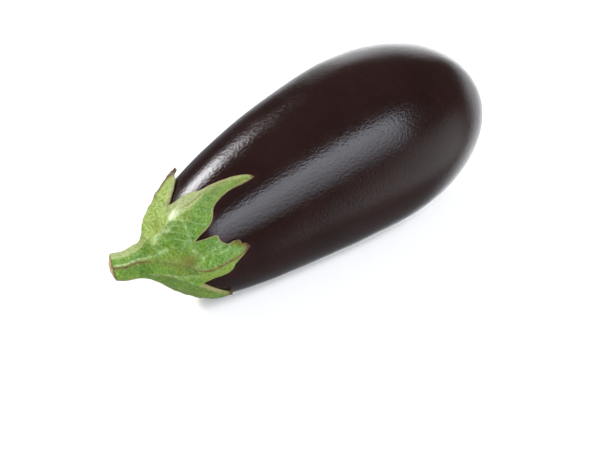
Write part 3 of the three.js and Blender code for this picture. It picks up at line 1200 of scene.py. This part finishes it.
        # Painted light: the top lobe's upper face and the collar's upper side get a straw tint.
        top = (1 - smooth(turn, ridge - 3.5, ridge + 1.5)) * smooth(turn, 70, 82) * smooth(distance, 17, 26)
        near = 0.7 * (1 - smooth(edge, 0.5, 3.5)) * (1 - smooth(turn, 70, 78)) * smooth(turn, 45, 55)
        stem = 0.7 * (1 - smooth(distance, 2, 9)) * (1 - smooth(turn, 98, 108)) * smooth(turn, 40, 70)
        return np.clip(top + near + stem, 0.0, 1.0)

    def gloss(self, distance: np.ndarray, angle: np.ndarray) -> np.ndarray:
        """The waxy, smoother swelling at the root of the top lobe."""
        return WAXY.at(angle % 360, distance)

    def brownness(self, distance: np.ndarray, angle: np.ndarray, closest: np.ndarray,
                  edge: np.ndarray) -> np.ndarray:
        """Where the green is scarred or dried: tips, rubbed patches, and the ribs near the stem."""
        turn = angle % 360
        rubbed = sum(spot.at(turn, distance) for spot in RUBBED)
        ridge = np.exp(-closest / 0.6) * (1 - smooth(distance, 0, 8)) * np.exp(-((turn - 145) / 12) ** 2)
        fold = np.exp(-closest / 0.45) * smooth(distance, 18, 22) * np.exp(-((turn - 164) / 9) ** 2)
        outer = 0.9 * np.exp(-edge / 0.9) * smooth(distance, 24, 29) * (turn > 22)
        outer *= (1 - smooth(turn, 42, 46))
        dry = DRY_SPOT.at(turn, distance) + np.exp(-edge / 1.1) * DRY_RIM.at(turn, distance)
        dull = 0.20 * smooth(distance, 27, 44) * smooth(turn, 98, 106) * (1 - smooth(turn, 128, 140))
        tips = np.zeros_like(distance)
        for lobe, length in zip(LOBES, DRY_TIPS):
            tip_angle, reach = lobe.edge[lobe.tip]
            close = np.abs((turn - tip_angle + 180) % 360 - 180) < 14
            tips = np.maximum(tips, close * smooth(distance, reach - length, reach))
        return np.clip(0.62 * rubbed + 0.9 * ridge + 1.1 * fold + outer + dry + dull + tips, 0.0, 1.0)


@dataclass
class Stem:
    """The leaning, ridged stalk, cut off at its far end."""

    shape: StemForm
    form: Form
    finish: GreenFinish = GreenFinish(name="stem_green")
    spokes: int = 168
    rows: int = 46
    inner_end: float = 1.0
    outer_end: float = 18.5
    slant: float = 0.195
    slant_angle: float = 80.0
    stub: float = 1.6
    face: tuple[float, ...] = (0.985, 0.95, 0.90, 0.82, 0.72, 0.60, 0.47, 0.34, 0.21, 0.10)
    piece: bpy.types.Object = field(init=False, default=None)

    def build(self) -> bpy.types.Object:
        """Models the stem.

        Returns:
            The finished piece, undressed.
        """
        angle = np.linspace(0.0, 360.0, self.spokes + 1)
        outs = np.linspace(self.inner_end, self.outer_end, self.rows)
        keys = ("vein", "paleness_and_painted_light", "tan", "gloss", "brownness", "edge_mm", "cut", "cut_radius")
        rows, marks = [], {key: [] for key in keys}
        rows.append(self.ring(self.inner_end, angle, 0.0))
        for out in outs:
            rows.append(self.ring(out, angle, 1.0))
        for share in self.face:
            rows.append(self.ring(self.outer_end, angle, share, face=True))
        rows.append(self.ring(self.outer_end, angle, 0.0, face=True))
        for i in range(len(rows)):
            out = outs[min(max(i - 1, 0), self.rows - 1)]
            radius = float(self.shape.radius(out))
            away = np.min([np.abs((angle - lobe.rib[0][1] + 180) % 360 - 180) for lobe in LOBES], axis=0)
            away = np.radians(away) * radius
            on_face = i > self.rows
            front = np.exp(-((angle - 145) / 9) ** 2)
            cream = 0.80 * np.exp(-(((angle - 135) * math.pi / 180 * radius) / 0.42) ** 2)
            marks["vein"].append(np.clip(0.35 * np.exp(-away / 0.6) * (angle < 120) + cream, 0, 1))
            # Painted light: the stem's upper, lit side is painted paler and straw-tinted.
            lit = smooth(angle, 20, 40) * (1 - smooth(angle, 100, 109))
            marks["paleness_and_painted_light"].append(np.clip(lit + 0.15 * smooth(angle, 182, 192), 0, 1))
            marks["tan"].append(0.8 * lit)
            marks["gloss"].append(np.zeros_like(angle))
            end = 0.8 * smooth(np.full_like(angle, out), 18.1, 18.9)
            marks["brownness"].append(np.clip(0.95 * front * np.exp(-away / 0.75) + end, 0, 1))
            marks["edge_mm"].append(np.full_like(angle, 9.0))
            marks["cut"].append(np.full_like(angle, 1.0 if on_face else 0.0))
            share = (1.0,) + self.face + (0.0,)
            marks["cut_radius"].append(np.full_like(angle, share[max(0, i - self.rows)]))
        points = self.form.lay_down(np.concatenate(rows)).reshape(len(rows), len(angle), 3)
        marks = {key: np.array(value) for key, value in marks.items()}
        self.piece = rolled_sheet("stem_stalk", points, marks)
        return self.piece

    def ring(self, out: float, angle: np.ndarray, share: float, face: bool = False) -> np.ndarray:
        """One ring of the stalk or of its cut face.

        Args:
            out: distance out from the crown.
            angle: of each point, in degrees.
            share: the ring's size as a share of the stalk's own.
            face: True on the cut face, which bulges a little.

        Returns:
            Its points in the growing frame.
        """
        radius = float(self.shape.radius(out))
        skin = radius + self.shape.ridges(angle, np.full_like(angle, radius))
        skin = skin - 0.05 * (1 - smooth(np.full_like(angle, out), 8.0, 9.2)) - 0.02
        size = skin * share
        end = smooth(np.full_like(angle, out), 12.0, self.outer_end)
        shift = self.slant * size * np.cos(np.radians(angle - self.slant_angle)) * end
        stub = self.stub * (1 - share ** 2) if face else 0.0
        where = -(out + shift + stub)
        made = self.form.around(where, size, np.radians(angle))
        if face and share > 0:
            made[:, 0] += 0.30 * lumps(made, 1.6, 2.0)
        return made


# ---------------------------------------------------------------------------------------------------------
# Studio
# ---------------------------------------------------------------------------------------------------------

@dataclass(frozen=True)
class Window:
    """A soft bright patch of the surroundings, as a studio light box would show.

    Attributes:
        azimuth: degrees from +X towards +Y.
        elevation: of its middle, in degrees.
        half_width: in degrees.
        half_height: in degrees.
        soft: how far its edges fade, as a share of its half size.
        colour: its brightness.
        foot: brightness of its lower edge as a share of its upper edge's.
    """

    azimuth: float
    elevation: float
    half_width: float
    half_height: float
    soft: float
    colour: Colour
    foot: float = 1.0

    def shine(self, bench: Bench, direction: Socket) -> Socket:
        """Adds the patch.

        Args:
            bench: the world's nodes.
            direction: where each ray looks.

        Returns:
            The patch's light in that direction.
        """
        a, e = math.radians(self.azimuth), math.radians(self.elevation)
        ahead = (math.cos(a) * math.cos(e), math.sin(a) * math.cos(e), math.sin(e))
        right = (-math.sin(a), math.cos(a), 0.0)
        up = (-math.cos(a) * math.sin(e), -math.sin(a) * math.sin(e), math.cos(e))
        parts = [bench.node("VectorMath", {0: direction, 1: axis}, operation="DOT_PRODUCT").outputs["Value"]
                 for axis in (ahead, right, up)]
        front = bench.math("MAXIMUM", parts[0], 0.001)
        sideways = bench.math("DIVIDE", parts[1], front)
        upwards = bench.math("DIVIDE", parts[2], front)
        width, height = math.tan(math.radians(self.half_width)), math.tan(math.radians(self.half_height))
        amount = bench.math("GREATER_THAN", parts[0], 0.01)
        for place, half in ((sideways, width), (upwards, height)):
            near, far = half * (1 - self.soft), half * (1 + self.soft)
            inside = bench.ramp(bench.math("ABSOLUTE", place), near, far, (1.0, 0.0))
            amount = bench.math("MULTIPLY", amount, inside)
        span = {"Value": upwards, "From Min": -height, "From Max": height, "To Min": self.foot, "To Max": 1.0}
        slope = bench.node("MapRange", span).outputs["Result"]
        amount = bench.math("MULTIPLY", amount, slope)
        grey = bench.node("CombineColor", {0: amount, 1: amount, 2: amount}).outputs[0]
        return bench.mix(1.0, self.colour, grey, Blend.MULTIPLY)


@dataclass
class Studio:
    """Ground, soft light and camera."""

    floor_size: float = 8.0
    ambient: Colour = (0.035, 0.035, 0.037)
    below: Colour = (0.27, 0.28, 0.30)
    windows: tuple[Window, ...] = (
        Window(-92, 35.5, 30, 21, 0.16, (12.6, 13.7, 15.5), foot=0.06),
        Window(98.4, 37.0, 13.5, 7.1, 0.32, (18.5, 18.5, 19.3)),
        Window(104, 37.0, 13.5, 7.1, 0.32, (27.0, 27.0, 28.0)),
        Window(44, -3, 18, 24, 0.30, (2.5, 2.55, 2.6), foot=0.25),
        Window(-48, -12, 22, 22, 0.45, (1.60, 1.62, 1.65)),
        Window(22, -22, 30, 26, 0.35, (1.70, 1.74, 1.80)),
    )
    fills: tuple[tuple[float, float, float, float], ...] = ((-130, 52, 80, 0.45), (0, 90, 140, 0.35))
    aim_shift: tuple[float, float, float] = (-0.0063, -0.0060, 0.0161)
    distance: float = 0.6232
    azimuth: float = -39.5
    elevation: float = 38.0
    lens: float = 85.0

    def build(self) -> None:
        """Sets the ground, the light and the camera."""
        self.lay_floor()
        self.light()
        self.stand_camera()

    def lay_floor(self) -> None:
        """A plain pale ground."""
        start_alone()
        bpy.ops.mesh.primitive_plane_add(size=self.floor_size, location=(0, 0, -0.00005))
        floor = bpy.context.object
        floor.name = "ground"
        bpy.ops.object.transform_apply(location=True, rotation=True, scale=True)
        floor.data.materials.append(FloorFinish().build())
        floor.visible_glossy = False

    def light(self) -> None:
        """Bright patches all round, and broad soft fills that don't mirror in the skin."""
        world = bpy.data.worlds.new("studio")
        bpy.context.scene.world = world
        world.use_nodes = True
        bench = Bench(world.node_tree)
        direction = bench.node("TexCoord").outputs["Generated"]
        height = bench.node("SeparateXYZ", {"Vector": direction}).outputs["Z"]
        light = bench.mix(bench.ramp(height, -0.12, 0.0, (1.0, 0.0)), self.ambient, self.below)
        for window in self.windows:
            light = bench.mix(1.0, light, window.shine(bench, direction), Blend.ADD)
        back = bench.node("Background", {"Color": light, "Strength": 1.0})
        bench.node("OutputWorld", {"Surface": back.outputs[0]})
        for azimuth, elevation, spread, strength in self.fills:
            a, e = math.radians(azimuth), math.radians(elevation)
            start_alone()
            bpy.ops.object.light_add(type="SUN", location=(0, 0, 1))
            fill = bpy.context.object
            fill.name = f"fill_{elevation:.0f}"
            fill.data.angle = math.radians(spread)
            fill.data.energy = strength
            towards = Vector((math.cos(a) * math.cos(e), math.sin(a) * math.cos(e), math.sin(e)))
            fill.rotation_euler = (-towards).to_track_quat("-Z", "Y").to_euler()
            fill.visible_glossy = False

    def stand_camera(self) -> None:
        """Looks down on the eggplant from its stem end, at one side."""
        low, high = (Vector(corner) for corner in CAD_BOX)
        aim = Vector(((low.x + high.x) / 2, (low.y + high.y) / 2, low.z)) + Vector(self.aim_shift)
        a, e = math.radians(self.azimuth), math.radians(self.elevation)
        back = Vector((math.sin(a) * math.cos(e), -math.cos(a) * math.cos(e), math.sin(e)))
        start_alone()
        bpy.ops.object.camera_add(location=aim + back * self.distance)
        camera = bpy.context.object
        camera.data.lens = self.lens
        camera.data.sensor_width = 36.0
        camera.rotation_euler = (-back).to_track_quat("-Z", "Y").to_euler()
        camera.data.clip_start, camera.data.clip_end = 0.01, 50.0
        bpy.context.scene.camera = camera
        bpy.context.scene.view_settings.view_transform = "Standard"


def main() -> None:
    """Builds the pieces and the studio, and reports each piece."""
    logging.basicConfig(level=logging.INFO, format="%(name)s: %(message)s")
    form = Form()
    stem_form = StemForm(form)
    fruit = Fruit(form)
    calyx = Calyx(form, stem_form)
    stem = Stem(stem_form, form)
    fruit.build()
    calyx.build()
    stem.build()
    fruit.mark(calyx.margin, calyx.cover)
    dress(fruit.piece, fruit.finish.build(), "skin", "fruit")
    dress(calyx.piece, calyx.finish.build(), "calyx", "calyx")
    dress(stem.piece, stem.finish.build(), "stem", "stem")
    for maker in (fruit, calyx, stem):
        LOG.info("%s: %d faces", maker.piece.name, len(maker.piece.data.polygons))
    Studio().build()


if __name__ == "__main__":
    main()
